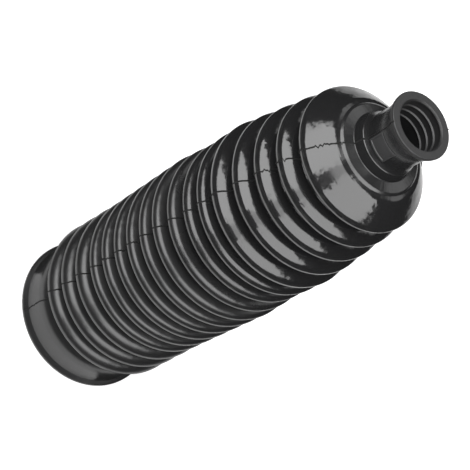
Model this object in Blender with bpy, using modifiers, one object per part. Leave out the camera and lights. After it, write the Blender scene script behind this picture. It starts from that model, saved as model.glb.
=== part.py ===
"""Steering rack boot: a moulded rubber bellows with a clamp cuff at its wide end
and a ribbed neck at its narrow end.

The boot is one moulded piece. It stands on the open face of the cuff, with its
axis on +Z and the middle of that face at the origin. Sizes are in metres.
"""
import math

import bpy

# Cuff, which fits over the rack housing and takes a wide clamp
CUFF_BORE_R = 0.0232
CUFF_WALL = 0.0019
CUFF_RIM_STEP = 0.0013
CUFF_RIM_HEIGHT = 0.0028
CUFF_RIM_LAND = 0.0011
CUFF_RIM_EDGE = 0.0006
CLAMP_BAND_HEIGHT = 0.0084
CUFF_SLOPE_HEIGHT = 0.0052

# Folds, counted from the cuff up to the shoulder. Each run of folds has its
# number of folds, its pitch, the radius of the crest that ends it, the depth
# from crest to root, and the rounding of its crests.
FIRST_CREST_R = 0.0277
FOLD_RUNS = [
    (3, 0.0089, 0.0273, 0.0062, 0.0016),
    (5, 0.0076, 0.0279, 0.0060, 0.00145),
    (2, 0.0076, 0.0268, 0.0060, 0.00145),
    (2, 0.0076, 0.0270, 0.0060, 0.00145),
    (4, 0.00904, 0.0223, 0.0048, 0.0021),
]
ROOT_ROUND = 0.0008
CREST_WALL = 0.0022
ROOT_WALL = 0.0018

# Shoulder, a slightly bulged cone with a flatter brow under a ring-shaped corner
SHOULDER_HEIGHT = 0.00785
SHOULDER_TOP_R = 0.0144
SHOULDER_BULGE = 0.0001
BROW_WIDTH = 0.0012
BROW_DROP = 0.0007
SHOULDER_WALL = 0.0020

# Foot of the neck: a sloping ring, a slightly conical wall and a low step
FOOT_RING_RISE = 0.00125
FOOT_WALL_WIDTH = 0.0007
FOOT_WALL_HEIGHT = 0.0030
STEP_WIDTH = 0.0010
STEP_LEDGE = 0.00098

# Neck, which grips the tie rod with rounded ribs in its bore
NECK_BORE_R = 0.0076
NECK_WALL = 0.0012
NECK_HEIGHT = 0.0133
RIB_HEIGHT = 0.0006
RIB_WIDTH = 0.0007
RIB_PITCH = 0.0028
RIB_COUNT = 3
TOP_RIB_DEPTH = 0.0036
MOUTH_BEAD_HEIGHT = 0.0003
MOUTH_BEAD_DEPTH = 0.0007

# Lip that keeps the small clamp on the neck
LIP_OVERHANG = 0.0015
LIP_HEIGHT = 0.0026
LIP_FLARE = 0.0022
LIP_EDGE = 0.0004

# Facets
STEPS_ROUND = 32
CREST_ARC = math.radians(50)
MERGE_DISTANCE = 0.00001

BOOT_COLOUR = (0.012, 0.012, 0.013, 1.0)
BOOT_ROUGHNESS = 0.32


def clear_scene():
    """Remove every object that the new file opens with."""
    for thing in list(bpy.data.objects):
        bpy.data.objects.remove(thing, do_unlink=True)


def crest_rings():
    """Give each crest's radius, height and rounding, from the cuff up to the shoulder."""
    radius = FIRST_CREST_R
    height = CUFF_RIM_HEIGHT + CLAMP_BAND_HEIGHT + CUFF_SLOPE_HEIGHT + FOLD_RUNS[0][1] / 2
    crests = []
    for folds, pitch, end_radius, depth, crest_round in FOLD_RUNS:
        start_radius = radius
        for fold in range(folds):
            radius = start_radius + (end_radius - start_radius) * fold / folds
            crests.append((radius, height, crest_round))
            height += pitch
        radius = end_radius
    crests.append((radius, height, FOLD_RUNS[-1][4]))
    return crests


def root_rings(crests):
    """Give each root's radius and height: one under the first crest, then one between crests."""
    first_radius, first_height, first_round = crests[0]
    roots = [(first_radius - FOLD_RUNS[0][3], first_height - FOLD_RUNS[0][1] / 2)]
    for folds, pitch, end_radius, depth, crest_round in FOLD_RUNS:
        for fold in range(folds):
            lower = crests[len(roots) - 1]
            upper = crests[len(roots)]
            roots.append(((lower[0] + upper[0]) / 2 - depth, (lower[1] + upper[1]) / 2))
    return roots


def crest_arc(radius, height, rounding):
    """Round a crest with three points, from its upper side to its lower side."""
    centre = radius - rounding
    points = []
    for angle in (CREST_ARC, 0.0, -CREST_ARC):
        points.append((centre + rounding * math.cos(angle), height + rounding * math.sin(angle)))
    return points


def root_flat(radius, height, half_height):
    """Blunt a root with two points, from its upper side to its lower side."""
    return [(radius, height + half_height), (radius, height - half_height)]


def neck_levels(crests):
    """Name the heights above the top crest that the neck's two sides share."""
    shoulder_top = crests[-1][1] + SHOULDER_HEIGHT
    wall_foot = shoulder_top + FOOT_RING_RISE
    step = wall_foot + FOOT_WALL_HEIGHT
    lip_under = step + NECK_HEIGHT - LIP_HEIGHT
    return shoulder_top, wall_foot, step, lip_under, lip_under + LIP_HEIGHT


def neck_outside(crests):
    """Outer side from the lip's face down to the middle of the shoulder's cone."""
    shoulder_top, wall_foot, step, lip_under, lip_face = neck_levels(crests)
    neck_r = NECK_BORE_R + NECK_WALL
    lip_r = neck_r + LIP_OVERHANG
    step_r = neck_r + STEP_WIDTH
    crest_r, crest_z, crest_round = crests[-1]
    cone_top_r = SHOULDER_TOP_R + BROW_WIDTH
    cone_top_z = shoulder_top - BROW_DROP
    cone_foot_r = crest_r - crest_round * (1 - math.cos(CREST_ARC))
    cone_foot_z = crest_z + crest_round * math.sin(CREST_ARC)
    cone_length = math.hypot(cone_foot_r - cone_top_r, cone_top_z - cone_foot_z)
    bulge_r = (cone_top_r + cone_foot_r) / 2 + SHOULDER_BULGE * (cone_top_z - cone_foot_z) / cone_length
    bulge_z = (cone_top_z + cone_foot_z) / 2 + SHOULDER_BULGE * (cone_foot_r - cone_top_r) / cone_length
    return [
        (lip_r - LIP_EDGE, lip_face),
        (lip_r, lip_face - LIP_EDGE),
        (lip_r - LIP_OVERHANG * 0.15, lip_face - LIP_HEIGHT * 0.45),
        (neck_r + LIP_OVERHANG * 0.25, lip_under - LIP_FLARE * 0.3),
        (neck_r, lip_under - LIP_FLARE * 1.4),
        (neck_r, step + STEP_LEDGE * 2),
        (neck_r + STEP_WIDTH * 0.35, step + STEP_LEDGE * 0.85),
        (step_r, step),
        (step_r + FOOT_WALL_WIDTH, wall_foot),
        (SHOULDER_TOP_R, shoulder_top),
        (cone_top_r, cone_top_z),
        (bulge_r, bulge_z),
    ]


def neck_inside(crests):
    """Inner side from the shoulder's roof up through the ribbed bore to the lip's mouth."""
    shoulder_top, wall_foot, step, lip_under, lip_face = neck_levels(crests)
    points = [
        (SHOULDER_TOP_R - SHOULDER_WALL / 2, shoulder_top - SHOULDER_WALL),
        (NECK_BORE_R + SHOULDER_WALL / 2, wall_foot - SHOULDER_WALL),
        (NECK_BORE_R, wall_foot - SHOULDER_WALL / 2),
    ]
    for rib in reversed(range(RIB_COUNT)):
        middle = lip_face - TOP_RIB_DEPTH - rib * RIB_PITCH
        points.append((NECK_BORE_R, middle - RIB_WIDTH))
        points.append((NECK_BORE_R - RIB_HEIGHT, middle - RIB_WIDTH * 0.3))
        points.append((NECK_BORE_R - RIB_HEIGHT, middle + RIB_WIDTH * 0.3))
        points.append((NECK_BORE_R, middle + RIB_WIDTH))
    points.append((NECK_BORE_R, lip_face - MOUTH_BEAD_DEPTH * 2))
    points.append((NECK_BORE_R - MOUTH_BEAD_HEIGHT, lip_face - MOUTH_BEAD_DEPTH))
    points.append((NECK_BORE_R + LIP_EDGE / 2, lip_face))
    return points


def cuff_outside():
    """Outer side from the top of the clamp band down to the open face."""
    band_r = CUFF_BORE_R + CUFF_WALL
    rim_r = band_r + CUFF_RIM_STEP
    return [
        (band_r, CUFF_RIM_HEIGHT + CLAMP_BAND_HEIGHT),
        (band_r, CUFF_RIM_HEIGHT),
        (rim_r, CUFF_RIM_LAND),
        (rim_r, CUFF_RIM_EDGE),
        (rim_r - CUFF_RIM_EDGE, 0.0),
    ]


def cuff_inside():
    """Inner side from the open face up to the end of the cuff's bore."""
    return [
        (CUFF_BORE_R + CUFF_RIM_EDGE, 0.0),
        (CUFF_BORE_R, CUFF_RIM_EDGE),
        (CUFF_BORE_R, CUFF_RIM_HEIGHT + CLAMP_BAND_HEIGHT),
    ]


def outer_side(crests, roots):
    """Whole outer side, top to bottom."""
    points = neck_outside(crests)
    for crest, root in zip(reversed(crests), reversed(roots)):
        points += crest_arc(*crest)
        points += root_flat(*root, ROOT_ROUND)
    return points + cuff_outside()


def inner_side(crests, roots):
    """Whole inner side, bottom to top."""
    points = cuff_inside()
    for crest, root in zip(crests, roots):
        root_r, root_z = root
        crest_r, crest_z, crest_round = crest
        blunt = root_flat(root_r - ROOT_WALL, root_z, ROOT_ROUND / 2)
        points += reversed(blunt)
        points.append((crest_r - CREST_WALL, crest_z))
    return points + neck_inside(crests)


def rubber():
    """Black rubber with a satin gloss."""
    material = bpy.data.materials.new("black_rubber")
    material.use_nodes = True
    shader = material.node_tree.nodes["Principled BSDF"]
    shader.inputs["Base Color"].default_value = BOOT_COLOUR
    shader.inputs["Roughness"].default_value = BOOT_ROUGHNESS
    shader.inputs["Metallic"].default_value = 0.0
    return material


def make_boot():
    """Turn the closed section round +Z."""
    crests = crest_rings()
    roots = root_rings(crests)
    section = outer_side(crests, roots) + inner_side(crests, roots)
    vertices = [(radius, 0.0, height) for radius, height in section]
    edges = [(i, (i + 1) % len(vertices)) for i in range(len(vertices))]
    mesh = bpy.data.meshes.new("bellows_boot")
    mesh.from_pydata(vertices, edges, [])
    mesh.materials.append(rubber())
    boot = bpy.data.objects.new("bellows_boot", mesh)

    turn = boot.modifiers.new("turn", "SCREW")
    turn.axis = "Z"
    turn.angle = math.tau
    turn.steps = STEPS_ROUND
    turn.render_steps = STEPS_ROUND
    turn.use_merge_vertices = True
    turn.merge_threshold = MERGE_DISTANCE
    turn.use_smooth_shade = True
    return boot


def main():
    clear_scene()
    collection = bpy.data.collections.new("steering_rack_boot")
    bpy.context.scene.collection.children.link(collection)
    collection.objects.link(make_boot())


main()
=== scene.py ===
"""Steering rack boot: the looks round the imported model.

The boot is one rubber moulding. Its body is a section drawn by extrusion and spun
round +Z, with the flash of the mould's parting line and a blank label pad on it.
"""

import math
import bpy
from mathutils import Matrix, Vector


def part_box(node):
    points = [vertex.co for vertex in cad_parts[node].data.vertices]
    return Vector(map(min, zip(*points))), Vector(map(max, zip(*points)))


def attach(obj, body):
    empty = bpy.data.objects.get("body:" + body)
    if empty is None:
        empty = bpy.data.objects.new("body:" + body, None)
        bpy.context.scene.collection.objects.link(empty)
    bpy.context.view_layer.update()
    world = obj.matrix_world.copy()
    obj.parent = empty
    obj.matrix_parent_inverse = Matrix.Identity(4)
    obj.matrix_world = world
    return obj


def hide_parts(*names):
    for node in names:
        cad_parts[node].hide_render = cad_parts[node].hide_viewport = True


bl_info = {
    "name": "Steering rack boot",
    "version": (1, 0, 0),
    "blender": (4, 5, 0),
    "location": "3D View > Sidebar > Boot",
    "description": "Models a moulded steering rack boot, its rubber and a small studio",
    "category": "Object",
}

import bpy
from bpy.props import FloatProperty, FloatVectorProperty, IntProperty, PointerProperty
from mathutils import Matrix, Vector, noise

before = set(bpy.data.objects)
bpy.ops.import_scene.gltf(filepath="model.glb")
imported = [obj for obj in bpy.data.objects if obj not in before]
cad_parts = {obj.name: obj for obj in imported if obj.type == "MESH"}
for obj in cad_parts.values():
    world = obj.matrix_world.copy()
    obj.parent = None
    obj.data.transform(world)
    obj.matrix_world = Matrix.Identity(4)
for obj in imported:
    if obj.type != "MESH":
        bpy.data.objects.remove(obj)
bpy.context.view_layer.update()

NODE = "bellows_boot"
BODY = "root"
LOW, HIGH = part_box(NODE)
BOOT_HEIGHT = HIGH.z - LOW.z

# Runs of folds from the cuff up. Each has its number of folds, pitch, radius of the crest that
# ends it, depth from crest to root, rounding of its crests, radius of its undersides, and radius of
# the brow above a crest with the angle at which it leaves the crest. Folds without a brow are as
# round above as below.
FIRST_CREST_R = 0.0277
FOLD_RUNS = (
    (3, 0.0089, 0.0273, 0.0062, 0.0016, 0.0100, 0.0046, math.radians(32.0)),
    (5, 0.0076, 0.0279, 0.0060, 0.00145, 0.0085, 0.0023, math.radians(33.0)),
    (2, 0.0076, 0.0268, 0.0060, 0.00145, 0.0085, 0.0025, math.radians(33.0)),
    (2, 0.0076, 0.0270, 0.0060, 0.00145, 0.0085, 0.0027, math.radians(33.0)),
    (4, 0.00904, 0.0223, 0.0048, 0.0021, 0.0090, 0.0, 0.0),
)

# Rounding of the crest under the shoulder
TOP_CREST_ROUND = 0.0021

# Where the shoulder's cone leaves the top crest and where the cuff's sloping top leaves the lowest
# root, as the tilt of the surface from upright
CONE_FOOT_ANGLE = math.radians(50.0)
CUFF_SLOPE_ANGLE = math.radians(40.0)

# Parts that the arcs of the folds are drawn in
CREST_PARTS = 8
UNDERSIDE_PARTS = 3
ROOT_PARTS = 5
LOW_ROOT_PARTS = 6
BROW_PARTS = 7

# Corners of the section: the rounding of each, and the parts that its arc is drawn in
SHARP = (0.0, 1)
UNDER_LIP = (0.0012, 4)
LIP_HOLLOW = (0.0160, 12)
STEP_FOOT = (0.0026, 8)
STEP_BREAK = (0.0002, 3)
STEP_CORNER = (0.00012, 4)
FOOT_CORNER = (0.00040, 6)
SHOULDER_CORNER = (0.0009, 6)
GROOVE_FOOT = (0.0008, 4)
BROW_END = (0.0040, 6)
CONE_MIDDLE = (0.0450, 6)
BAND_TOP = (0.0060, 8)
BAND_FOOT = (0.0007, 5)
BORE_END = (0.0012, 4)
INNER_ROOT = (0.0010, 2)
INNER_CREST = (0.0004, 1)
TOP_INNER_CREST = (0.0006, 3)
ROOF_FOOT = (0.0015, 4)
ROOF_TOP = (0.0010, 4)
NECK_BORE_FOOT = (0.0006, 3)
RIB_FOOT = (0.0003, 3)
RIB_TIP = (0.0002, 5)
BEAD_FOOT = (0.0004, 4)
BEAD_TIP = (0.0005, 6)
MOUTH = (0.0003, 4)

# Parts of the corners whose rounding is among the sizes
LIP_PARTS = 6
RIM_PARTS = 5
CUFF_MOUTH_PARTS = 4

# Shares of the lip's overhang and height where its edge turns in, and of its flare where its hollow
# starts, slope of the step's edge, and shares of the rim's rounding and of the bead
LIP_TURN_IN = 0.15
LIP_TURN_DOWN = 0.45
HOLLOW_START = 0.9
STEP_EDGE_SLOPE = 0.65
RIM_FACE_SHARE = 0.9
CUFF_MOUTH_SHARE = 1.4
BEAD_FOOT_SHARE = 2

# Half angle of a straight corner, shortest step of an outline, and the body's longest step, steps
# round the axis and merging distance
STRAIGHT = math.radians(89.5)
SHORTEST_STEP = 0.00002
LONGEST_STEP = 0.0030
BODY_STEPS = 136
MERGE_DISTANCE = 0.00001

# The mould opens on a plane through the axis, at this angle from +X and opposite
PARTING_ANGLE = math.radians(-117.5)

# Flash on the parting line: points of the outer side that it takes, step along it, how deep its
# feet sit, half its width, its height, and the size of its unevenness
FLASH_SPAN = slice(2, -10)
FLASH_STEP = 0.00035
FLASH_SINK = 0.00003
FLASH_HALF_WIDTH = 0.00028
FLASH_HEIGHT = 0.00060
FLASH_CLOUDS = 0.0012

# Noises that move the flash sideways: two coordinates and the pace of each. The wander acts all
# along, and the jitter only where the slip is above its level.
WANDER = (0.0, 1.7, 0.11)
WANDER_REACH = 0.00030
SLIP = (4.2, 0.0, 0.045)
SLIP_LEVEL = 0.30
JITTER = (9.1, 0.0, 0.5)
JITTER_REACH = 0.00090

# Label pad: rows, columns and slope of its panel, how far the panel sinks and the skirt reaches in
# as shares of its rise, slack for choosing the panel, and the bevel
PAD_ROWS = 6
PAD_COLUMNS = 24
PAD_SLOPE = 0.0001
PAD_SINK = 0.7
PAD_SKIRT = 3.0
PAD_SLACK = 0.00001
PAD_TURN_SLACK = 0.001
PAD_BEVEL = 0.00004
PAD_BEVEL_ANGLE = math.radians(50.0)

# Scuffs and painted crest highlight: how far from a crest's tip they reach, the streaks they start at,
# their contrast, and how much rougher the scuffs are
EDGE_REACH = 0.0011
SCUFF_AND_HIGHLIGHT_LEVEL = 0.46
SCUFF_AND_HIGHLIGHT_CONTRAST = 5.0
SCUFF_ROUGHNESS = 0.10

# Heights between which the gloss rises, radius of the rougher bore, heights where the lip and the
# neck turn rougher and how sharply, and the pad's grain against the body's
GLOSS_FROM = 0.085
GLOSS_TO = 0.128
ROUGH_BORE_R = 0.0079
ROUGH_LIP = (0.1745, 500.0)
ROUGH_NECK = (0.1592, 900.0)
PAD_GRAIN = 6

# Vector sockets of the shader groups
VECTOR_SOCKETS = ("Position", "Normal")

# Softboxes bent to a sphere: their distance, then the glow, turns and elevations of each, in degrees
KEY_DISTANCE = 0.65
SOFTBOXES = (
    ("key_left", "left", (-90, -13), (33, 72)),
    ("key_left_top", "left", (-90, -58), (72, 80)),
    ("key_right", "right", (13, 90), (33, 72)),
    ("key_right_top", "right", (58, 90), (72, 80)),
    ("key_middle", "middle", (-13, 13), (52.5, 71)),
)

# Black cards bent to a wider sphere: their distance, then the turns and elevations of each
BLACK_DISTANCE = 1.40
BLACK_CARDS = (
    ("black_wall", (-180, 180), (-4, 30)),
    ("black_wing_left", (-128, 0), (30, 84)),
    ("black_wing_right", (0, 128), (30, 84)),
    ("black_ceiling", (-180, 180), (54, 89.9)),
)

# Black cards just above the floor: the radii and turns of each
FLOOR_CARDS = (
    ("black_floor_front", (0.165, 1.4), (-140.0, 140.0)),
    # Painted contact shadow: a black ring round the sides and back of the boot's foot, seen only in
    # reflections
    ("painted_shadow_ring_back", (0.0265, 0.042), (62.0, 298.0)),
)
FLOOR_CARD_HEIGHT = 0.0005
FLOOR_CARD_STEPS = 48
CARD_STEP = math.radians(8.0)

# White floor: facets, radius, gap under the boot, radii between which its glow in reflections rises from
# nothing at the boot, a painted contact shadow, and its glow in reflections and to the camera
FLOOR_FACETS = 96
FLOOR_RADIUS = 6.0
FLOOR_GAP = 0.0001
GLOW_FROM = 0.024
PAINTED_SHADE_TO = 0.050
GLOW_IN_REFLECTIONS = 0.22
GLOW_TO_CAMERA = 0.45

# Camera: the crest it is aimed near, how far beside and below it as shares of its distance, the
# width of its sensor in millimetres, and its clip range
AIM_CREST = 8
AIM_RIGHT = -0.0023627
AIM_DOWN = 0.0043763
SENSOR_WIDTH = 36.0
CLIP_RANGE = (0.01, 20.0)


def length(name, default, description):
    """A size in metres."""
    return FloatProperty(name=name, default=default, description=description, unit="LENGTH", precision=5)


def fraction(name, default, description):
    """A number between nought and one."""
    return FloatProperty(name=name, default=default, description=description, min=0.0, max=1.0)


def factor(name, default, description):
    """A number that is nought or more."""
    return FloatProperty(name=name, default=default, description=description, min=0.0)


def turn(name, degrees, description):
    """An angle, given in degrees."""
    return FloatProperty(name=name, default=math.radians(degrees), description=description, subtype="ANGLE")


def tone(name, default, description):
    """A colour."""
    return FloatVectorProperty(name=name, default=default, description=description, subtype="COLOR",
                               size=3, min=0.0, max=1.0)


class BootSizes(bpy.types.PropertyGroup):
    cuff_bore_r: length("Cuff bore radius", 0.0232, "Bore that goes over the rack housing")
    cuff_wall: length("Cuff wall", 0.0019, "Wall of the cuff under its clamp")
    rim_step: length("Rim step", 0.0013, "How far the rim stands out from the band")
    rim_height: length("Rim height", 0.0028, "Height of the rim at the open face")
    rim_land: length("Rim land", 0.0011, "Rim's outermost part above the open face")
    rim_edge: length("Rim edge", 0.0006, "Rounding of the rim's edges")
    band_height: length("Clamp band height", 0.0084, "Band that takes the wide clamp")
    slope_height: length("Cuff slope height", 0.0052, "From the band up to the first root")
    root_round: length("Root rounding", 0.0008, "Outer radius of a root")
    crest_wall: length("Crest wall", 0.0022, "Wall at a crest, along the radius")
    root_wall: length("Root wall", 0.0018, "Wall at a root, along the radius")
    shoulder_height: length("Shoulder height", 0.00835, "From the top crest up to the ring-shaped corner")
    shoulder_top_r: length("Shoulder corner radius", 0.0135, "Radius of the ring-shaped corner")
    shoulder_bulge: length("Shoulder bulge", 0.00004, "How far the shoulder's cone bulges")
    groove_width: length("Groove width", 0.0007, "From the ring-shaped corner out to the cone")
    groove_drop: length("Groove drop", 0.00062, "From the ring-shaped corner down to the cone")
    brow_width: length("Brow width", 0.0015, "Width of the flatter brow at the top of the cone")
    brow_drop: length("Brow drop", 0.00062, "Height of that flatter brow")
    shoulder_wall: length("Shoulder wall", 0.0020, "Wall of the shoulder")
    foot_rise: length("Foot ring rise", 0.00075, "Rise of the sloping ring at the neck's foot")
    lower_step: length("Lower step width", 0.0007, "How far the neck's foot widens below the upper step")
    lower_step_height: length("Lower step height", 0.0030, "Height of the neck's foot below the upper step")
    upper_step: length("Upper step width", 0.0010, "Width of the upper step at the neck's foot")
    step_fillet: length("Step fillet", 0.0015, "Fillet from the upper step to the neck")
    step_edge: length("Step edge", 0.0002, "Width of the flatter edge of the upper step")
    neck_bore_r: length("Neck bore radius", 0.0076, "Bore that grips the tie rod")
    neck_wall: length("Neck wall", 0.0012, "Wall of the neck")
    neck_height: length("Neck height", 0.0133, "From the upper step to the lip's face")
    rib_height: length("Rib height", 0.00055, "How far a rib stands into the bore")
    rib_width: length("Rib width", 0.00045, "Half the height of a rib's foot")
    rib_pitch: length("Rib pitch", 0.0028, "Distance between ribs")
    rib_depth: length("Top rib depth", 0.0036, "From the lip's face to the top rib")
    mouth_bead: length("Mouth bead", 0.0003, "How far the bead under the mouth stands in")
    mouth_bead_depth: length("Mouth bead depth", 0.0007, "From the lip's face to the mouth bead")
    rib_count: IntProperty(name="Ribs", default=3, min=0, description="Ribs in the neck's bore")
    lip_overhang: length("Lip overhang", 0.0015, "How far the lip stands out from the neck")
    lip_height: length("Lip height", 0.0026, "Height of the lip")
    lip_flare: length("Lip flare", 0.0022, "Height of the hollow under the lip")
    lip_edge: length("Lip edge", 0.0004, "Rounding of the lip's edges")
    pad_rise: length("Pad rise", 0.00028, "How far the pad stands out")
    pad_gap: length("Pad gap", 0.0016, "From the upper step up to the pad")
    pad_height: length("Pad height", 0.0052, "Height of the pad")
    pad_frame: length("Pad frame", 0.0005, "Width of the pad's frame")
    pad_turn: turn("Pad turn", 48.0, "Angle that the pad takes round the neck")


class RubberLook(bpy.types.PropertyGroup):
    colour: tone("Rubber", (0.015, 0.015, 0.0155), "Carbon black rubber")
    # Lighter colour of streaks on the crest tips: partly scuffed rubber, partly a painted highlight along
    # the crests
    scuff_and_highlight_colour: tone("Scuffs", (0.070, 0.070, 0.068), "Colour of scuffed and dusty rubber")
    pad_colour: tone("Label pad", (0.036, 0.036, 0.037), "Satin rubber of the label pad")
    shine: fraction("Shine", 0.9, "Strength of the rubber's reflections")
    gloss_top: fraction("Roughness at the neck", 0.13, "Roughness where the mould is polished")
    gloss_low: fraction("Roughness at the cuff", 0.30, "Roughness where the mould is plainer")
    bore_roughness: fraction("Bore roughness", 0.36, "How much rougher the neck's bore and lip are")
    neck_roughness: fraction("Neck roughness", 0.12, "How much rougher the neck and its foot are")
    pad_roughness: fraction("Pad roughness", 0.22, "How much rougher the label pad is")
    uneven: factor("Uneven gloss", 0.10, "How much the gloss varies in patches")
    # How far the crest tips lighten: partly scuffs, partly a painted crest highlight
    scuff_and_highlight_strength: fraction("Scuffs on the crests", 0.55, "Strength of the scuffs")
    lean: factor("Frayed reflections", 0.22, "How far reflections fray round the axis")
    streak: length("Streaks", 0.000009, "Height of the streaks round the boot")
    grain: length("Grain", 0.0000012, "Height of the fine grain")
    wave: length("Waves", 0.000035, "Height of the slow waves")


class StudioLook(bpy.types.PropertyGroup):
    elevation: turn("Camera elevation", 48.135, "Angle above the horizon")
    roll: turn("Camera roll", 60.71, "Turn about the line of sight")
    lens: factor("Focal length", 124.17, "In millimetres")
    distance: length("Camera distance", 0.5111, "From the lens to the middle fold")
    key_strength: factor("Key light", 3.4, "Brightness of the right softboxes")
    key_left: factor("Left softbox", 1.18, "Left softboxes against the right ones")
    key_middle: factor("Middle softbox", 0.75, "Middle softbox against the right ones")
    sky_strength: factor("Surround", 0.55, "Brightness of the white surround as a light")


def polar(radius, angle, height):
    """A place at a radius and an angle round the axis."""
    return Vector((radius * math.cos(angle), radius * math.sin(angle), height))


def crest_rings(sizes):
    """Each crest's radius, height and rounding, from the cuff up."""
    radius = FIRST_CREST_R
    height = sizes.rim_height + sizes.band_height + sizes.slope_height + FOLD_RUNS[0][1] / 2
    crests = []
    for folds, pitch, end_radius, depth, crest_round, *flanks in FOLD_RUNS:
        start_radius = radius
        for fold in range(folds):
            crests.append((start_radius + (end_radius - start_radius) * fold / folds, height, crest_round))
            height += pitch
        radius = end_radius
    crests.append((radius, height, TOP_CREST_ROUND))
    return crests


def root_rings(sizes, crests):
    """Each root's radius and height, then its underside and brow sizes, from the cuff up."""
    pitch, depth, flanks = FOLD_RUNS[0][1], FOLD_RUNS[0][3], FOLD_RUNS[0][5:]
    roots = [(crests[0][0] - depth, crests[0][1] - pitch / 2, *flanks)]
    number = 0
    for folds, pitch, end_radius, depth, crest_round, *flanks in FOLD_RUNS:
        for fold in range(folds):
            lower, upper = crests[number], crests[number + 1]
            roots.append(((lower[0] + upper[0]) / 2 - depth, (lower[1] + upper[1]) / 2, *flanks))
            number += 1
    return roots


def arc(centre, radius, start, end, parts):
    """Points on an arc of the section, from one angle to another."""
    points = []
    for part in range(parts + 1):
        angle = start + (end - start) * part / parts
        points.append((centre[0] + radius * math.cos(angle), centre[1] + radius * math.sin(angle)))
    return points


def flank_arc(crest_centre, crest_round, root_centre, root_round, flank_round):
    """Centre of the arc that runs smoothly from a crest's arc into a root's, and its two end angles."""
    crest_centre, root_centre = Vector(crest_centre), Vector(root_centre)
    across = root_centre - crest_centre
    span = across.length
    from_crest, from_root = flank_round - crest_round, flank_round + root_round
    along = (from_crest ** 2 - from_root ** 2 + span ** 2) / (2 * span)
    aside = math.sqrt(from_crest ** 2 - along ** 2)
    onward = across / span
    sideways = Vector((-onward.y, onward.x))
    centres = [crest_centre + along * onward + side * aside * sideways for side in (1, -1)]
    centre = min(centres, key=lambda point: point.x)
    to_crest, to_root = crest_centre - centre, root_centre - centre
    return centre, math.atan2(to_crest.y, to_crest.x), math.atan2(to_root.y, to_root.x)


def brow_arc(crest_centre, crest_round, root_centre, root_round, brow_round, leave_angle):
    """Centre of the brow's arc above a crest, and the angle of the straight line from it to the root."""
    centre = Vector(crest_centre) - polar(brow_round - crest_round, leave_angle, 0.0).xy
    across = Vector(root_centre) - centre
    return centre, math.atan2(across.y, across.x) - math.acos((brow_round + root_round) / across.length)


def rounded(corners):
    """Outline through corners, each given as radius, height, rounding and parts of its arc."""
    points = [Vector(corners[0][:2])]
    for before, corner, after in zip(corners, corners[1:], corners[2:]):
        here = Vector(corner[:2])
        back = (Vector(before[:2]) - here).normalized()
        onward = (Vector(after[:2]) - here).normalized()
        rounding, parts = corner[2], corner[3]
        half = back.angle(onward) / 2
        if rounding == 0.0 or half > STRAIGHT:
            points.append(here)
            continue
        reach = rounding / math.tan(half)
        centre = here + (back + onward).normalized() * (rounding / math.sin(half))
        first = here + back * reach - centre
        sweep = first.angle_signed(here + onward * reach - centre)
        for part in range(parts + 1):
            points.append(centre + Matrix.Rotation(-sweep * part / parts, 2) @ first)
    points.append(Vector(corners[-1][:2]))
    return [tuple(point) for point in points]


def split_long(points, longest):
    """Add points to an outline so that no step is longer than the given length."""
    result = [points[0]]
    for start, end in zip(points, points[1:]):
        if math.dist(start, end) < SHORTEST_STEP:
            continue
        steps = max(1, math.ceil(math.dist(start, end) / longest))
        for step in range(1, steps + 1):
            share = step / steps
            result.append((start[0] + (end[0] - start[0]) * share, start[1] + (end[1] - start[1]) * share))
    return result


def neck_levels(sizes, crests):
    """Heights above the top crest that the neck's two sides share."""
    shoulder_top = crests[-1][1] + sizes.shoulder_height
    lower_step = shoulder_top + sizes.foot_rise
    upper_step = lower_step + sizes.lower_step_height
    lip_under = upper_step + sizes.neck_height - sizes.lip_height
    return shoulder_top, lower_step, upper_step, lip_under, lip_under + sizes.lip_height


def neck_outside(sizes, crests):
    """Outer side from the lip's face down to the shoulder's foot at the top crest."""
    shoulder_top, lower_step, upper_step, lip_under, lip_face = neck_levels(sizes, crests)
    neck_r = sizes.neck_bore_r + sizes.neck_wall
    lip_r = neck_r + sizes.lip_overhang
    upper_r = neck_r + sizes.upper_step
    lower_r = upper_r + sizes.lower_step
    crest_r, crest_z, crest_round = crests[-1]
    crest_centre = Vector((crest_r - crest_round, crest_z))
    cone_foot = crest_centre + polar(crest_round, CONE_FOOT_ANGLE, 0.0).xy
    cone_top = Vector((sizes.shoulder_top_r + sizes.groove_width, shoulder_top - sizes.groove_drop))
    brow = cone_top + Vector((sizes.brow_width, -sizes.brow_drop))
    bulge = Vector((brow.y - cone_foot.y, cone_foot.x - brow.x)).normalized() * sizes.shoulder_bulge * 2
    cone_middle = (brow + cone_foot) / 2 + bulge
    edge = sizes.step_edge
    corners = [
        (neck_r, lip_face, *SHARP),
        (lip_r, lip_face, sizes.lip_edge, LIP_PARTS),
        (lip_r - sizes.lip_overhang * LIP_TURN_IN, lip_face - sizes.lip_height * LIP_TURN_DOWN, *UNDER_LIP),
        (neck_r, lip_under - sizes.lip_flare * HOLLOW_START, *LIP_HOLLOW),
        (neck_r, upper_step + sizes.step_fillet, *STEP_FOOT),
        (upper_r - edge, upper_step + edge * STEP_EDGE_SLOPE, *STEP_BREAK),
        (upper_r, upper_step, *STEP_CORNER),
        (lower_r, lower_step, *FOOT_CORNER),
        (sizes.shoulder_top_r, shoulder_top, *SHOULDER_CORNER),
        (*cone_top, *GROOVE_FOOT),
        (*brow, *BROW_END),
        (*cone_middle, *CONE_MIDDLE),
        (*cone_foot, *SHARP),
    ]
    return rounded(corners)


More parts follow.
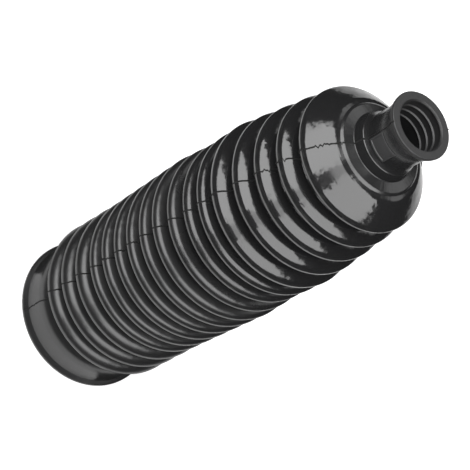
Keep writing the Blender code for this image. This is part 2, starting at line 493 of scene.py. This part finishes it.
def neck_inside(sizes, crests):
    """Inner side from the shoulder's roof up through the ribbed bore to the lip's mouth."""
    shoulder_top, lower_step, upper_step, lip_under, lip_face = neck_levels(sizes, crests)
    bore = sizes.neck_bore_r
    wall = sizes.shoulder_wall
    top_crest = crests[-1]
    corners = [
        (top_crest[0] - sizes.crest_wall, top_crest[1], *TOP_INNER_CREST),
        (sizes.shoulder_top_r - wall / 2, shoulder_top - wall, *ROOF_FOOT),
        (bore + wall / 2, lower_step - wall, *ROOF_TOP),
        (bore, lower_step - wall / 2, *NECK_BORE_FOOT),
    ]
    for rib in reversed(range(sizes.rib_count)):
        middle = lip_face - sizes.rib_depth - rib * sizes.rib_pitch
        corners.append((bore, middle - sizes.rib_width, *RIB_FOOT))
        corners.append((bore - sizes.rib_height, middle, *RIB_TIP))
        corners.append((bore, middle + sizes.rib_width, *RIB_FOOT))
    bead_r, bead_z = bore - sizes.mouth_bead, lip_face - sizes.mouth_bead_depth
    corners.append((bore, bead_z - sizes.mouth_bead * BEAD_FOOT_SHARE, *BEAD_FOOT))
    corners.append((bead_r, bead_z, *BEAD_TIP))
    corners.append((bore + sizes.lip_edge / 2, lip_face, *MOUTH))
    corners.append((bore + sizes.neck_wall, lip_face, *SHARP))
    return rounded(corners)


def cuff_outside(sizes):
    """Corners of the outer side from the top of the clamp band down to the open face."""
    band_r = sizes.cuff_bore_r + sizes.cuff_wall
    rim_r = band_r + sizes.rim_step
    return [
        (band_r, sizes.rim_height + sizes.band_height, *BAND_TOP),
        (band_r, sizes.rim_height, *BAND_FOOT),
        (rim_r, sizes.rim_land, sizes.rim_edge, RIM_PARTS),
        (rim_r, 0.0, sizes.rim_edge * RIM_FACE_SHARE, RIM_PARTS),
        (band_r, 0.0, *SHARP),
    ]


def cuff_inside(sizes):
    """Corners of the inner side from the open face up to the end of the cuff's bore."""
    return [
        (sizes.cuff_bore_r + sizes.cuff_wall, 0.0, *SHARP),
        (sizes.cuff_bore_r, 0.0, sizes.rim_edge * CUFF_MOUTH_SHARE, CUFF_MOUTH_PARTS),
        (sizes.cuff_bore_r, sizes.rim_height + sizes.band_height, *BORE_END),
    ]


def outer_side(sizes):
    """Outline of the outer side, from the lip's face down to the cuff's open face."""
    crests = crest_rings(sizes)
    roots = root_rings(sizes, crests)
    outer = neck_outside(sizes, crests)
    root_round = sizes.root_round
    crest_centres = [(radius - rounding, height) for radius, height, rounding in crests]
    root_centres = [(root[0] + root_round, root[1]) for root in roots]
    last = Vector(outer.pop()) - Vector(crest_centres[-1])
    start = math.atan2(last.y, last.x)
    for number in reversed(range(len(crests))):
        crest_round = crests[number][2]
        flank_round = roots[number][2]
        centre, crest_end, root_start = flank_arc(crest_centres[number], crest_round, root_centres[number],
                                                  root_round, flank_round)
        outer += arc(crest_centres[number], crest_round, start, crest_end, CREST_PARTS)
        outer += arc(centre, flank_round, crest_end, root_start, UNDERSIDE_PARTS)
        if number == 0:
            outer += arc(root_centres[0], root_round, root_start + math.pi, math.pi + CUFF_SLOPE_ANGLE,
                         LOW_ROOT_PARTS)
            break
        below = number - 1
        brow_round, start = roots[number][3:]
        if brow_round > 0.0:
            centre, root_end = brow_arc(crest_centres[below], crests[below][2], root_centres[number],
                                        root_round, brow_round, start)
        else:
            brow_round = flank_round
            centre, start, root_end = flank_arc(crest_centres[below], crests[below][2], root_centres[number],
                                                root_round, flank_round)
        outer += arc(root_centres[number], root_round, root_start + math.pi, root_end + math.pi, ROOT_PARTS)
        outer += arc(centre, brow_round, root_end, start, BROW_PARTS)
    return outer[:-1] + rounded([(*outer[-1], *SHARP)] + cuff_outside(sizes))


def inner_side(sizes):
    """Outline of the inner side, from the cuff's open face up to the lip's face."""
    crests = crest_rings(sizes)
    roots = root_rings(sizes, crests)
    inner_corners = cuff_inside(sizes)
    for crest, root in zip(crests, roots):
        inner_corners.append((root[0] - sizes.root_wall, root[1], *INNER_ROOT))
        inner_corners.append((crest[0] - sizes.crest_wall, crest[1], *INNER_CREST))
    inner_corners.pop()
    inner = rounded(inner_corners + [(crests[-1][0] - sizes.crest_wall, crests[-1][1], *SHARP)])
    return inner[:-1] + neck_inside(sizes, crests)


def set_mode(mode):
    """Go into edit or object mode."""
    bpy.ops.object.mode_set(mode=mode)


def start_vertex(name, point):
    """A new object that is a single vertex at a point, left in edit mode."""
    bpy.ops.mesh.primitive_plane_add(size=0.001, location=(0.0, 0.0, 0.0))
    piece = bpy.context.object
    piece.name = name
    piece.data.name = name
    set_mode("EDIT")
    bpy.ops.mesh.select_all(action="SELECT")
    bpy.ops.mesh.merge(type="CENTER")
    bpy.ops.transform.translate(value=point)
    return piece


def extrude(step):
    """Extrude the selection by a step."""
    bpy.ops.mesh.extrude_region_move(TRANSFORM_OT_translate={"value": step})


def draw_line(name, places):
    """A new object that is a line through places, left in edit mode and selected as a whole."""
    piece = start_vertex(name, places[0])
    for here, there in zip(places, places[1:]):
        extrude(there - here)
    bpy.ops.mesh.select_all(action="SELECT")
    return piece


def spin(steps, angle, centre=(0.0, 0.0, 0.0)):
    """Spin the selection round an upright axis."""
    bpy.ops.mesh.spin(steps=steps, angle=angle, center=centre, axis=(0.0, 0.0, 1.0))


def model_body(sizes):
    """Draw the section on one side of the parting plane and spin it round."""
    outline = split_long(outer_side(sizes)[:-1] + inner_side(sizes), LONGEST_STEP)
    body = draw_line("boot_body", [polar(radius, PARTING_ANGLE, height) for radius, height in outline])
    spin(BODY_STEPS, math.tau)
    bpy.ops.mesh.select_all(action="SELECT")
    bpy.ops.mesh.remove_doubles(threshold=MERGE_DISTANCE)
    bpy.ops.mesh.normals_make_consistent(inside=False)
    set_mode("OBJECT")
    bpy.ops.object.shade_smooth()
    return body


def line_noise(kind, number):
    """Smooth noise at a numbered point of a line."""
    return noise.noise(Vector((kind[0], kind[1], number * kind[2])))


def model_flash(sizes):
    """Draw the thin uneven flash that the mould leaves along one side of its parting plane."""
    outline = split_long(outer_side(sizes)[FLASH_SPAN], FLASH_STEP)
    aside = Vector((-math.sin(PARTING_ANGLE), math.cos(PARTING_ANGLE), 0.0))
    places = []
    for number in range(1, len(outline) - 1):
        along = Vector(outline[number + 1]) - Vector(outline[number - 1])
        outward = Vector((-along.y, along.x)).normalized()
        radius, height = Vector(outline[number]) - outward * FLASH_SINK
        wander = line_noise(WANDER, number) * WANDER_REACH
        if line_noise(SLIP, number) > SLIP_LEVEL:
            wander += line_noise(JITTER, number) * JITTER_REACH
        places.append(polar(radius, PARTING_ANGLE, height) + aside * (wander - FLASH_HALF_WIDTH))
    flash = draw_line("parting_flash", places)
    extrude(aside * FLASH_HALF_WIDTH)
    extrude(aside * FLASH_HALF_WIDTH)
    set_mode("OBJECT")
    face_outward(flash)
    ridge = flash.vertex_groups.new(name="ridge")
    count = len(places)
    ridge.add(range(count, 2 * count), 1.0, "REPLACE")
    clouds = bpy.data.textures.new("flash_height", "CLOUDS")
    clouds.noise_scale = FLASH_CLOUDS
    raise_ridge = flash.modifiers.new("height", "DISPLACE")
    raise_ridge.texture = clouds
    raise_ridge.texture_coords = "LOCAL"
    raise_ridge.vertex_group = "ridge"
    raise_ridge.mid_level = 0.0
    raise_ridge.strength = FLASH_HEIGHT
    bpy.ops.object.modifier_apply(modifier="height")
    return flash


def turned_copy(piece, angle):
    """A copy with its own mesh, turned round the axis, with the turn applied."""
    copy = piece.copy()
    copy.data = piece.data.copy()
    bpy.context.collection.objects.link(copy)
    bpy.ops.object.select_all(action="DESELECT")
    copy.select_set(True)
    bpy.context.view_layer.objects.active = copy
    copy.rotation_euler = (0.0, 0.0, angle)
    bpy.ops.object.transform_apply(location=False, rotation=True, scale=False)
    return copy


def select_panel(pad, half_turn, low, high):
    """Select the vertices within a turn of the front and between two heights, in edit mode."""
    set_mode("EDIT")
    bpy.ops.mesh.select_mode(type="VERT")
    bpy.ops.mesh.select_all(action="DESELECT")
    set_mode("OBJECT")
    for vertex in pad.data.vertices:
        away = abs(math.atan2(vertex.co.x, -vertex.co.y))
        vertex.select = away < half_turn and low < vertex.co.z < high
    set_mode("EDIT")


def model_pad(sizes):
    """Raise a blank label pad with a frame round a sunk panel on the front of the neck."""
    radius = sizes.neck_bore_r + sizes.neck_wall + sizes.pad_rise
    first = math.radians(-90.0) - sizes.pad_turn / 2
    bottom = neck_levels(sizes, crest_rings(sizes))[2] + sizes.pad_gap
    edge = sizes.pad_frame + PAD_SLOPE
    inner_height = (sizes.pad_height - 2 * edge) / PAD_ROWS
    rises = [sizes.pad_frame, PAD_SLOPE] + [inner_height] * PAD_ROWS + [PAD_SLOPE, sizes.pad_frame]
    pad = start_vertex("label_pad", polar(radius, first, bottom))
    for rise in rises:
        extrude((0.0, 0.0, rise))
    bpy.ops.mesh.select_all(action="SELECT")
    inner_turn = sizes.pad_turn - 2 * edge / radius
    for width, steps in ((sizes.pad_frame / radius, 1), (PAD_SLOPE / radius, 1), (inner_turn, PAD_COLUMNS),
                         (PAD_SLOPE / radius, 1), (sizes.pad_frame / radius, 1)):
        spin(steps, -width)
    select_panel(pad, inner_turn / 2 + PAD_TURN_SLACK, bottom + edge - PAD_SLACK,
                 bottom + sizes.pad_height - edge + PAD_SLACK)
    sink = 1.0 - PAD_SINK * sizes.pad_rise / radius
    bpy.ops.transform.resize(value=(sink, sink, 1.0), center_override=(0.0, 0.0, 0.0))
    bpy.ops.mesh.select_all(action="SELECT")
    bpy.ops.mesh.region_to_loop()
    extrude((0.0, 0.0, 0.0))
    shrink = 1.0 - PAD_SKIRT * sizes.pad_rise / radius
    bpy.ops.transform.resize(value=(shrink, shrink, 1.0), center_override=(0.0, 0.0, 0.0))
    bpy.ops.mesh.select_mode(type="VERT")
    set_mode("OBJECT")
    face_outward(pad)
    soften = pad.modifiers.new("soften", "BEVEL")
    soften.width = PAD_BEVEL
    soften.segments = 2
    soften.limit_method = "ANGLE"
    soften.angle_limit = PAD_BEVEL_ANGLE
    bpy.ops.object.modifier_apply(modifier="soften")
    bpy.ops.object.shade_smooth()
    return pad


def face_outward(piece):
    """Turn the normals of an open piece away from the axis."""
    outward = 0.0
    for face in piece.data.polygons:
        outward += face.area * face.normal.dot(Vector((face.center.x, face.center.y, 0.0)).normalized())
    if outward < 0.0:
        set_mode("EDIT")
        bpy.ops.mesh.select_all(action="SELECT")
        bpy.ops.mesh.flip_normals()
        set_mode("OBJECT")


def node_group(name, inputs, outputs):
    """An empty shader node group with float or vector sockets."""
    group = bpy.data.node_groups.new(name, "ShaderNodeTree")
    for way, labels in (("INPUT", inputs), ("OUTPUT", outputs)):
        for label in labels:
            kind = "NodeSocketVector" if label in VECTOR_SOCKETS else "NodeSocketFloat"
            group.interface.new_socket(label, in_out=way, socket_type=kind)
    return group, group.nodes.new("NodeGroupInput"), group.nodes.new("NodeGroupOutput")


def set_inputs(node, **values):
    """Set a node's plain inputs by their names."""
    for label, value in values.items():
        node.inputs[label.replace("_", " ")].default_value = value


def feed(tree, sockets, values):
    """Set sockets to plain values, or link them to the sockets given instead."""
    for socket, value in zip(sockets, values):
        if isinstance(value, bpy.types.NodeSocket):
            tree.links.new(value, socket)
        else:
            socket.default_value = value


def math_node(tree, operation, *values, clamp=False):
    """A math node fed by sockets or plain numbers; gives its output socket."""
    node = tree.nodes.new("ShaderNodeMath")
    node.operation = operation
    node.use_clamp = clamp
    feed(tree, node.inputs, values)
    return node.outputs[0]


def vector_node(tree, operation, *values):
    """A vector math node fed by sockets or plain vectors; gives its output socket."""
    node = tree.nodes.new("ShaderNodeVectorMath")
    node.operation = operation
    second = node.inputs["Scale"] if operation == "SCALE" else node.inputs[1]
    feed(tree, (node.inputs[0], second), values)
    return node.outputs["Value" if operation == "LENGTH" else "Vector"]


def ramp_node(tree, value, *ends):
    """A smooth ramp from two levels of a value to two others; gives its output socket."""
    node = tree.nodes.new("ShaderNodeMapRange")
    node.interpolation_type = "SMOOTHSTEP"
    for label, end in zip(("From Min", "From Max", "To Min", "To Max"), ends):
        node.inputs[label].default_value = end
    tree.links.new(value, node.inputs["Value"])
    return node.outputs["Result"]


def above(tree, value, level, sharpness):
    """A mask that rises from nought to one above a level."""
    return math_node(tree, "MULTIPLY", math_node(tree, "SUBTRACT", value, level), sharpness, clamp=True)


def ring_noise_group():
    """Noise that is stretched round the axis, as a mould turned on a lathe leaves it."""
    group, enter, leave = node_group("ring_noise", ("Position", "Round", "Along", "Detail"), ("Value",))
    position = enter.outputs["Position"]
    split = group.nodes.new("ShaderNodeSeparateXYZ")
    group.links.new(position, split.inputs[0])
    unit = vector_node(group, "NORMALIZE", vector_node(group, "MULTIPLY", position, (1.0, 1.0, 0.0)))
    wide = vector_node(group, "SCALE", unit, enter.outputs["Round"])
    high = math_node(group, "MULTIPLY", split.outputs["Z"], enter.outputs["Along"])
    raised = group.nodes.new("ShaderNodeCombineXYZ")
    group.links.new(high, raised.inputs["Z"])
    texture = group.nodes.new("ShaderNodeTexNoise")
    set_inputs(texture, Scale=1.0, Roughness=0.55)
    group.links.new(vector_node(group, "ADD", wide, raised.outputs[0]), texture.inputs["Vector"])
    group.links.new(enter.outputs["Detail"], texture.inputs["Detail"])
    group.links.new(texture.outputs["Fac"], leave.inputs["Value"])
    return group


def grain_group():
    """Fine grain and slow waves of moulded rubber, as a height in metres."""
    group, enter, leave = node_group(
        "rubber_grain", ("Position", "Grain", "Grain Scale", "Wave", "Wave Scale"), ("Height",)
    )
    heights = []
    for size, amount, detail in (("Grain Scale", "Grain", 2.0), ("Wave Scale", "Wave", 1.0)):
        texture = group.nodes.new("ShaderNodeTexNoise")
        texture.inputs["Detail"].default_value = detail
        group.links.new(enter.outputs["Position"], texture.inputs["Vector"])
        group.links.new(enter.outputs[size], texture.inputs["Scale"])
        heights.append(math_node(group, "MULTIPLY", texture.outputs["Fac"], enter.outputs[amount]))
    group.links.new(math_node(group, "ADD", *heights), leave.inputs["Height"])
    return group


def lean_group():
    """Lean a normal round the axis by noise, which frays the ends of reflections."""
    group, enter, leave = node_group(
        "sideways_lean", ("Position", "Normal", "Value", "Amount"), ("Normal",)
    )
    round_axis = vector_node(group, "CROSS_PRODUCT", (0.0, 0.0, 1.0), enter.outputs["Position"])
    unit = vector_node(group, "NORMALIZE", round_axis)
    centred = math_node(group, "SUBTRACT", enter.outputs["Value"], 0.5)
    amount = math_node(group, "MULTIPLY", centred, enter.outputs["Amount"])
    aside = vector_node(group, "SCALE", unit, amount)
    total = vector_node(group, "ADD", enter.outputs["Normal"], aside)
    group.links.new(vector_node(group, "NORMALIZE", total), leave.inputs["Normal"])
    return group


def grouped(tree, group, **values):
    """A node that holds a group, with its plain inputs set."""
    node = tree.nodes.new("ShaderNodeGroup")
    node.node_tree = group
    set_inputs(node, **values)
    return node


def node_material(name):
    """A new material, its node tree and its shader."""
    material = bpy.data.materials.new(name)
    material.use_nodes = True
    return material, material.node_tree, material.node_tree.nodes["Principled BSDF"]


def shared_group(name, build):
    """The named group, made on its first use."""
    return bpy.data.node_groups.get(name) or build()


def make_rubber(look, name, extra_roughness, grain, colour):
    """Black rubber: glossier towards the neck, streaked round the axis, and lighter and rougher in streaks
    at the crest tips, partly scuffs and partly a painted highlight.
    """
    material, tree, shader = node_material(name)
    nodes, links = tree.nodes, tree.links
    set_inputs(shader, Specular_IOR_Level=look.shine)
    place = nodes.new("ShaderNodeTexCoord").outputs["Object"]
    rings = shared_group("ring_noise", ring_noise_group)
    streaks = grouped(tree, rings, Round=9.0, Along=2600.0, Detail=3.0)
    patches = grouped(tree, rings, Round=2.2, Along=110.0, Detail=4.0)
    sway = grouped(tree, rings, Round=14.0, Along=900.0, Detail=3.0)
    bumps = grouped(tree, shared_group("rubber_grain", grain_group), Grain=grain, Grain_Scale=3800.0,
                    Wave=look.wave, Wave_Scale=70.0)
    lean = grouped(tree, shared_group("sideways_lean", lean_group), Amount=look.lean)
    for node in (streaks, patches, sway, bumps, lean):
        links.new(place, node.inputs["Position"])
    split = nodes.new("ShaderNodeSeparateXYZ")
    links.new(place, split.inputs[0])
    height = split.outputs["Z"]
    gloss = ramp_node(tree, height, GLOSS_FROM, GLOSS_TO, look.gloss_low + extra_roughness,
                      look.gloss_top + extra_roughness)
    uneven = math_node(tree, "SUBTRACT", patches.outputs["Value"], 0.5)
    uneven = math_node(tree, "MULTIPLY", uneven, look.uneven)
    # Streaks near the crest tips are rougher as scuffs, and lighter partly as scuffs and partly as a painted
    # highlight along the crests
    edge = nodes.new("ShaderNodeAttribute")
    edge.attribute_name = "edge"
    scuff_and_highlight_streaks = above(tree, streaks.outputs["Value"], SCUFF_AND_HIGHLIGHT_LEVEL, SCUFF_AND_HIGHLIGHT_CONTRAST)
    scuff_and_highlight_mask = math_node(tree, "MULTIPLY", edge.outputs["Fac"], scuff_and_highlight_streaks)
    rough = math_node(tree, "ADD", gloss, uneven)
    rough = math_node(tree, "ADD", rough, math_node(tree, "MULTIPLY", scuff_and_highlight_mask, SCUFF_ROUGHNESS))
    radius = vector_node(tree, "LENGTH", vector_node(tree, "MULTIPLY", place, (1.0, 1.0, 0.0)))
    in_bore = math_node(tree, "LESS_THAN", radius, ROUGH_BORE_R)
    inside = math_node(tree, "MAXIMUM", in_bore, above(tree, height, *ROUGH_LIP))
    inside = math_node(tree, "MULTIPLY", inside, look.bore_roughness)
    on_neck = math_node(tree, "MULTIPLY", above(tree, height, *ROUGH_NECK), look.neck_roughness)
    rough = math_node(tree, "ADD", rough, math_node(tree, "MAXIMUM", inside, on_neck))
    links.new(rough, shader.inputs["Roughness"])
    tint = nodes.new("ShaderNodeMix")
    tint.data_type = "RGBA"
    set_inputs(tint, A=(*colour, 1.0), B=(*look.scuff_and_highlight_colour, 1.0))
    links.new(math_node(tree, "MULTIPLY", scuff_and_highlight_mask, look.scuff_and_highlight_strength), tint.inputs["Factor"])
    links.new(tint.outputs["Result"], shader.inputs["Base Color"])
    relief = math_node(tree, "MULTIPLY", streaks.outputs["Value"], look.streak)
    bump = nodes.new("ShaderNodeBump")
    set_inputs(bump, Distance=1.0)
    links.new(math_node(tree, "ADD", bumps.outputs["Height"], relief), bump.inputs["Height"])
    links.new(bump.outputs["Normal"], lean.inputs["Normal"])
    links.new(sway.outputs["Value"], lean.inputs["Value"])
    links.new(lean.outputs["Normal"], shader.inputs["Normal"])
    return material


def mark_edges(body, crests):
    """Store how close each vertex is to the tip of a crest."""
    attribute = body.data.attributes.new("edge", "FLOAT", "POINT")
    values = []
    for vertex in body.data.vertices:
        radius = math.hypot(vertex.co.x, vertex.co.y)
        gap = min(math.hypot(radius - crest[0], vertex.co.z - crest[1]) for crest in crests)
        values.append(max(0.0, 1.0 - gap / EDGE_REACH))
    attribute.data.foreach_set("value", values)


class BOOT_OT_body(bpy.types.Operator):
    """Model the boot's rubber body from its section"""
    bl_idname = "boot.body"
    bl_label = "Boot body"

    def execute(self, context):
        bpy.ops.object.select_all(action="DESELECT")
        sizes = context.scene.boot_sizes
        look = context.scene.boot_rubber
        body = model_body(sizes)
        mark_edges(body, crest_rings(sizes))
        body.data.materials.append(make_rubber(look, "black_rubber", 0.0, look.grain, look.colour))
        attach(body, BODY)
        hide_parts(NODE)
        return {"FINISHED"}


class BOOT_OT_flash(bpy.types.Operator):
    """Model the flash on both sides of the mould's parting plane"""
    bl_idname = "boot.flash"
    bl_label = "Parting flash"

    def execute(self, context):
        bpy.ops.object.select_all(action="DESELECT")
        flash = model_flash(context.scene.boot_sizes)
        flash.data.materials.append(bpy.data.materials["black_rubber"])
        for piece in (flash, turned_copy(flash, math.pi)):
            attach(piece, BODY)
        return {"FINISHED"}


class BOOT_OT_pad(bpy.types.Operator):
    """Model the blank label pad on the neck"""
    bl_idname = "boot.pad"
    bl_label = "Label pad"

    def execute(self, context):
        bpy.ops.object.select_all(action="DESELECT")
        look = context.scene.boot_rubber
        pad = model_pad(context.scene.boot_sizes)
        rubber = make_rubber(look, "pad_rubber", look.pad_roughness, look.grain * PAD_GRAIN, look.pad_colour)
        pad.data.materials.append(rubber)
        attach(pad, BODY)
        return {"FINISHED"}


def curved_card(name, radius, turns, heights, material):
    """A card bent to a sphere round the boot, between two turns from the front and two elevations."""
    low, high = (math.radians(value) for value in heights)
    first, last = (math.radians(value - 90.0) for value in turns)
    centre = Vector((0.0, 0.0, BOOT_HEIGHT / 2))
    rise_parts = max(1, round((high - low) / CARD_STEP))
    turn_parts = max(1, round((last - first) / CARD_STEP))
    places = []
    for part in range(rise_parts + 1):
        rise = low + (high - low) * part / rise_parts
        places.append(centre + polar(radius * math.cos(rise), first, radius * math.sin(rise)))
    card = draw_line(name, places)
    spin(turn_parts, first - last, centre)
    set_mode("OBJECT")
    card.data.materials.append(material)
    card.visible_camera = False
    return card


def glow_material(name, strength):
    """White glow of a softbox."""
    material, tree, shader = node_material(name)
    tree.nodes.clear()
    glow = tree.nodes.new("ShaderNodeEmission")
    set_inputs(glow, Strength=strength)
    out = tree.nodes.new("ShaderNodeOutputMaterial")
    tree.links.new(glow.outputs["Emission"], out.inputs["Surface"])
    return material


def black_material():
    """Black card without gloss."""
    material, tree, shader = node_material("black_card")
    set_inputs(shader, Base_Color=(0.02, 0.02, 0.02, 1.0), Roughness=1.0, Specular_IOR_Level=0.0)
    return material


def only_in_reflections(card):
    """Let a black card be seen in reflections alone, so that it takes no light away."""
    card.visible_camera = False
    card.visible_diffuse = False
    card.visible_shadow = False
    card.visible_transmission = False


def add_camera(studio, sizes):
    """A long lens that looks down on the boot, rolled as the photograph is."""
    target = Vector((0.0, 0.0, crest_rings(sizes)[AIM_CREST][1]))
    rise = studio.elevation
    forward = Vector((0.0, math.cos(rise), -math.sin(rise)))
    right = Vector((1.0, 0.0, 0.0))
    up = Vector((0.0, math.sin(rise), math.cos(rise)))
    aim = AIM_RIGHT * right - AIM_DOWN * up + forward
    bpy.ops.object.camera_add(location=target - studio.distance * aim)
    camera = bpy.context.object
    camera.name = "camera"
    rolled_right = math.cos(studio.roll) * right + math.sin(studio.roll) * up
    rolled_up = -math.sin(studio.roll) * right + math.cos(studio.roll) * up
    camera.rotation_euler = Matrix((rolled_right, rolled_up, -forward)).transposed().to_euler()
    camera.data.lens = studio.lens
    camera.data.sensor_width = SENSOR_WIDTH
    camera.data.clip_start, camera.data.clip_end = CLIP_RANGE
    bpy.context.scene.camera = camera


def viewing_rays(tree):
    """Sockets that are one on camera rays, and on all the rays that show a surface."""
    path = tree.nodes.new("ShaderNodeLightPath").outputs
    either = math_node(tree, "MAXIMUM", path["Is Camera Ray"], path["Is Glossy Ray"])
    return path["Is Camera Ray"], math_node(tree, "MAXIMUM", either, path["Is Transmission Ray"])


def floor_material():
    """White floor that glows to the camera beyond the boot's foot, and in reflections with a glow that fades
    to nothing towards the boot as a painted contact shadow.
    """
    material, tree, shader = node_material("studio_floor")
    set_inputs(shader, Base_Color=(0.8, 0.8, 0.8, 1.0), Roughness=0.9, Emission_Color=(1.0, 1.0, 1.0, 1.0))
    distance = vector_node(tree, "LENGTH", tree.nodes.new("ShaderNodeTexCoord").outputs["Object"])
    camera_ray, any_ray = viewing_rays(tree)
    # Painted contact shadow: in reflections the floor's glow fades away towards the boot
    near = ramp_node(tree, distance, GLOW_FROM, PAINTED_SHADE_TO, 0.0, GLOW_IN_REFLECTIONS)
    outside = math_node(tree, "GREATER_THAN", distance, GLOW_FROM)
    to_camera = math_node(tree, "MULTIPLY", camera_ray, outside)
    lift = math_node(tree, "MULTIPLY_ADD", to_camera, GLOW_TO_CAMERA,
                     math_node(tree, "MULTIPLY", any_ray, near))
    tree.links.new(lift, shader.inputs["Emission Strength"])
    return material


def white_world(strength):
    """White surround: full white to the camera and in reflections, softer as a light."""
    world = bpy.context.scene.world or bpy.data.worlds.new("studio")
    bpy.context.scene.world = world
    world.use_nodes = True
    tree = world.node_tree
    sky = tree.nodes["Background"]
    set_inputs(sky, Color=(1.0, 1.0, 1.0, 1.0))
    level = ramp_node(tree, viewing_rays(tree)[1], 0.0, 1.0, strength, 1.0)
    tree.links.new(level, sky.inputs["Strength"])


def floor_card(name, radii, turns, material):
    """A ring-shaped card just above the floor, between two radii and two turns from the front."""
    first, last = (math.radians(value - 90.0) for value in turns)
    card = draw_line(name, [polar(radius, first, FLOOR_CARD_HEIGHT) for radius in radii])
    spin(FLOOR_CARD_STEPS, first - last)
    set_mode("OBJECT")
    card.data.materials.append(material)
    only_in_reflections(card)


def black_cards():
    """Black cards that keep the rubber black: a low wall, wings, a ceiling and two on the floor, of which
    the ring at the boot's foot is a painted contact shadow.
    """
    black = black_material()
    for name, turns, heights in BLACK_CARDS:
        only_in_reflections(curved_card(name, BLACK_DISTANCE, turns, heights, black))
    for name, radii, turns in FLOOR_CARDS:
        floor_card(name, radii, turns, black)


class BOOT_OT_stage(bpy.types.Operator):
    """Set up the floor, lights and camera"""
    bl_idname = "boot.stage"
    bl_label = "Studio"

    def execute(self, context):
        studio = context.scene.boot_studio
        bpy.ops.object.select_all(action="DESELECT")
        bpy.ops.mesh.primitive_circle_add(vertices=FLOOR_FACETS, radius=FLOOR_RADIUS, fill_type="NGON",
                                          location=(0, 0, LOW.z - FLOOR_GAP))
        floor = context.object
        floor.name = "studio_floor"
        floor.data.materials.append(floor_material())
        white_world(studio.sky_strength)
        black_cards()
        glows = {
            "right": glow_material("key_glow", studio.key_strength),
            "left": glow_material("key_glow_left", studio.key_strength * studio.key_left),
            "middle": glow_material("key_glow_middle", studio.key_strength * studio.key_middle),
        }
        for name, glow, turns, heights in SOFTBOXES:
            curved_card(name, KEY_DISTANCE, turns, heights, glows[glow])
        add_camera(studio, context.scene.boot_sizes)
        context.scene.view_settings.view_transform = "Standard"
        return {"FINISHED"}


class BOOT_PT_panel(bpy.types.Panel):
    """Shows buttons that model the boot's pieces and set up the studio"""
    bl_idname = "BOOT_PT_panel"
    bl_label = "Steering rack boot"
    bl_space_type = "VIEW_3D"
    bl_region_type = "UI"
    bl_category = "Boot"

    def draw(self, context):
        layout = self.layout
        for operator in (BOOT_OT_body, BOOT_OT_flash, BOOT_OT_pad, BOOT_OT_stage):
            layout.operator(operator.bl_idname)


CLASSES = (
    BootSizes, RubberLook, StudioLook,
    BOOT_OT_body, BOOT_OT_flash, BOOT_OT_pad, BOOT_OT_stage, BOOT_PT_panel,
)


def register():
    for cls in CLASSES:
        bpy.utils.register_class(cls)
    bpy.types.Scene.boot_sizes = PointerProperty(type=BootSizes)
    bpy.types.Scene.boot_rubber = PointerProperty(type=RubberLook)
    bpy.types.Scene.boot_studio = PointerProperty(type=StudioLook)


def unregister():
    del bpy.types.Scene.boot_studio
    del bpy.types.Scene.boot_rubber
    del bpy.types.Scene.boot_sizes
    for cls in reversed(CLASSES):
        bpy.utils.unregister_class(cls)


def main():
    register()
    bpy.ops.boot.body()
    bpy.ops.boot.flash()
    bpy.ops.boot.pad()
    bpy.ops.boot.stage()


if __name__ == "__main__":
    main()
